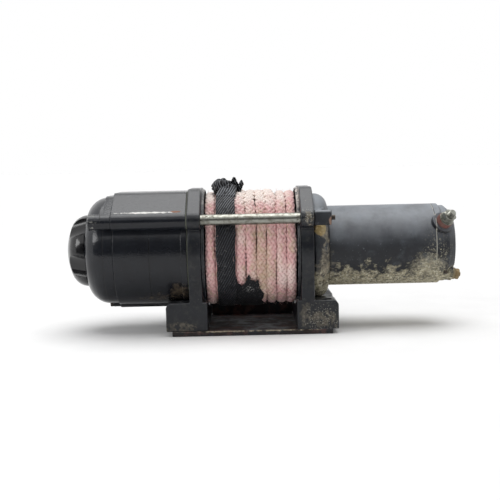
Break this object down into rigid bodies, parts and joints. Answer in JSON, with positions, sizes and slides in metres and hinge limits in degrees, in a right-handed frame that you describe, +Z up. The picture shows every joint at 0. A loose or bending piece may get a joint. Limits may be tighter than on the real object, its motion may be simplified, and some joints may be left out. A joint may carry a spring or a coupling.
{
  "type": "electric recovery winch",
  "caption": "Compact electric recovery winch with a three-stage planetary gearbox, clutch knob, drum wound with faded pink rope and a muddy permanent-magnet motor.",
  "frame": {"origin": "On the underside of the base plate, in the middle of the foot bolt pattern", "axes": "+X along the drum axis from the gearbox to the motor, +Z up, so the front with the upper motor terminal faces -Y"},
  "size_m": [0.3387, 0.114, 0.1215],
  "materials": {
    "black_enamel": "satin black paint, scuffed",
    "dusty_enamel": "satin black paint under dried mud",
    "base_steel": "worn black paint",
    "zinc_steel": "zinc plated, slightly tarnished",
    "black_steel": "black oxide",
    "drum_steel": "dull, dusty",
    "gear_steel": "oiled",
    "core_steel": "laminated",
    "spring_steel": "bare",
    "ferrite": "matt sintered ferrite",
    "copper": "bare and enamelled copper",
    "bronze": "sintered bronze",
    "phenolic": "matt",
    "carbon": "matt",
    "nylon": "matt, off white",
    "brake_lining": "matt, woven",
    "gasket_paper": "matt",
    "gloss_black_plastic": "glossy black",
    "red_fibre": "faded red",
    "pink_rope": "braided, faded and dusty",
    "black_webbing": "ribbed webbing, frayed"
  },
  "bodies": {
    "root": {"base_plate": "base_steel", "base_plate_screws": "zinc_steel", "gear_side_support": "black_enamel", "motor_side_support": "dusty_enamel", "tie_rods": "zinc_steel", "foot_nuts": "zinc_steel", "gear_housing": "black_enamel", "housing_gasket": "gasket_paper", "housing_screws": "zinc_steel", "main_ring_gear": "gear_steel", "input_ring_gear": "gear_steel", "end_cover": "black_enamel", "gearbox_bolts": "black_steel", "cover_screw": "zinc_steel", "drum_bushes": "nylon", "motor_flange": "dusty_enamel", "motor_flange_bolts": "black_steel", "motor_can": "dusty_enamel", "motor_magnets": "ferrite", "motor_end_cap": "dusty_enamel", "motor_through_bolts": "zinc_steel", "motor_bushes": "bronze", "brush_holder": "phenolic", "brushes": "carbon", "brush_springs": "spring_steel", "terminal_studs": "zinc_steel", "terminal_insulators": "red_fibre", "terminal_washers": "zinc_steel", "terminal_nuts": "zinc_steel"},
    "drum": {"drum": "drum_steel", "output_carrier": "gear_steel", "rope_core": "pink_rope", "rope_turns": "pink_rope", "rope_sleeve": "black_webbing", "sleeve_fold": "black_webbing", "sleeve_torn_end": "black_webbing", "rope_anchor_screw": "black_steel"},
    "rotor": {"drive_shaft": "gear_steel", "input_sun_gear": "gear_steel", "motor_coupler": "gear_steel", "motor_shaft": "gear_steel", "armature_core": "core_steel", "armature_windings": "copper", "commutator": "copper", "brake_hub": "gear_steel", "brake_shoes": "brake_lining", "brake_spring": "spring_steel"},
    "first_carrier": {"first_carrier": "gear_steel"},
    "second_carrier": {"second_carrier": "gear_steel"},
    "first_planet_a": {"first_planet_a": "gear_steel"},
    "first_planet_b": {"first_planet_b": "gear_steel"},
    "first_planet_c": {"first_planet_c": "gear_steel"},
    "second_planet_a": {"second_planet_a": "gear_steel"},
    "second_planet_b": {"second_planet_b": "gear_steel"},
    "second_planet_c": {"second_planet_c": "gear_steel"},
    "output_planet_a": {"output_planet_a": "gear_steel"},
    "output_planet_b": {"output_planet_b": "gear_steel"},
    "output_planet_c": {"output_planet_c": "gear_steel"},
    "clutch_dial": {"clutch_dial": "gloss_black_plastic"},
    "clutch_plunger": {"clutch_plunger": "gear_steel"}
  },
  "joints": [
    {"name": "drum_spin", "type": "hinge", "parent": "root", "child": "drum", "pos_m": [0, 0, 0.0695], "axis": [1, 0, 0], "continuous": true},
    {"name": "rotor_spin", "type": "hinge", "parent": "root", "child": "rotor", "pos_m": [0, 0, 0.0695], "axis": [1, 0, 0], "continuous": true},
    {"name": "first_carrier_spin", "type": "hinge", "parent": "root", "child": "first_carrier", "pos_m": [-0.09, 0, 0.0695], "axis": [1, 0, 0], "continuous": true},
    {"name": "second_carrier_spin", "type": "hinge", "parent": "root", "child": "second_carrier", "pos_m": [-0.077, 0, 0.0695], "axis": [1, 0, 0], "continuous": true},
    {"name": "first_planet_a_spin", "type": "hinge", "parent": "first_carrier", "child": "first_planet_a", "pos_m": [-0.0981, 0.02063, 0.0695], "axis": [1, 0, 0], "continuous": true},
    {"name": "first_planet_b_spin", "type": "hinge", "parent": "first_carrier", "child": "first_planet_b", "pos_m": [-0.0981, -0.01031, 0.08736], "axis": [1, 0, 0], "continuous": true},
    {"name": "first_planet_c_spin", "type": "hinge", "parent": "first_carrier", "child": "first_planet_c", "pos_m": [-0.0981, -0.01031, 0.05164], "axis": [1, 0, 0], "continuous": true},
    {"name": "second_planet_a_spin", "type": "hinge", "parent": "second_carrier", "child": "second_planet_a", "pos_m": [-0.0843, 0.02063, 0.0695], "axis": [1, 0, 0], "continuous": true},
    {"name": "second_planet_b_spin", "type": "hinge", "parent": "second_carrier", "child": "second_planet_b", "pos_m": [-0.0843, -0.01031, 0.08736], "axis": [1, 0, 0], "continuous": true},
    {"name": "second_planet_c_spin", "type": "hinge", "parent": "second_carrier", "child": "second_planet_c", "pos_m": [-0.0843, -0.01031, 0.05164], "axis": [1, 0, 0], "continuous": true},
    {"name": "output_planet_a_spin", "type": "hinge", "parent": "drum", "child": "output_planet_a", "pos_m": [-0.068, 0.02063, 0.0695], "axis": [1, 0, 0], "continuous": true},
    {"name": "output_planet_b_spin", "type": "hinge", "parent": "drum", "child": "output_planet_b", "pos_m": [-0.068, -0.01031, 0.08736], "axis": [1, 0, 0], "continuous": true},
    {"name": "output_planet_c_spin", "type": "hinge", "parent": "drum", "child": "output_planet_c", "pos_m": [-0.068, -0.01031, 0.05164], "axis": [1, 0, 0], "continuous": true},
    {"name": "clutch_dial_turn", "type": "hinge", "parent": "root", "child": "clutch_dial", "pos_m": [-0.149, 0, 0.0695], "axis": [1, 0, 0], "range_deg": [0, 90]},
    {"name": "clutch_plunger_slide", "type": "slide", "parent": "root", "child": "clutch_plunger", "axis": [-1, 0, 0], "range_m": [0, 0.006]}
  ],
  "couplings": [
    {"joint": "rotor_spin", "follows": "drum_spin", "ratio": 166.38},
    {"joint": "first_carrier_spin", "follows": "drum_spin", "ratio": 30.25},
    {"joint": "second_carrier_spin", "follows": "drum_spin", "ratio": 5.5},
    {"joint": "first_planet_a_spin", "follows": "drum_spin", "ratio": -77.786},
    {"joint": "first_planet_b_spin", "follows": "drum_spin", "ratio": -77.786},
    {"joint": "first_planet_c_spin", "follows": "drum_spin", "ratio": -77.786},
    {"joint": "second_planet_a_spin", "follows": "drum_spin", "ratio": -14.143},
    {"joint": "second_planet_b_spin", "follows": "drum_spin", "ratio": -14.143},
    {"joint": "second_planet_c_spin", "follows": "drum_spin", "ratio": -14.143},
    {"joint": "output_planet_a_spin", "follows": "drum_spin", "ratio": -2.5714},
    {"joint": "output_planet_b_spin", "follows": "drum_spin", "ratio": -2.5714},
    {"joint": "output_planet_c_spin", "follows": "drum_spin", "ratio": -2.5714},
    {"joint": "clutch_plunger_slide", "follows": "clutch_dial_turn", "m_per_rad": 0.0038197}
  ]
}
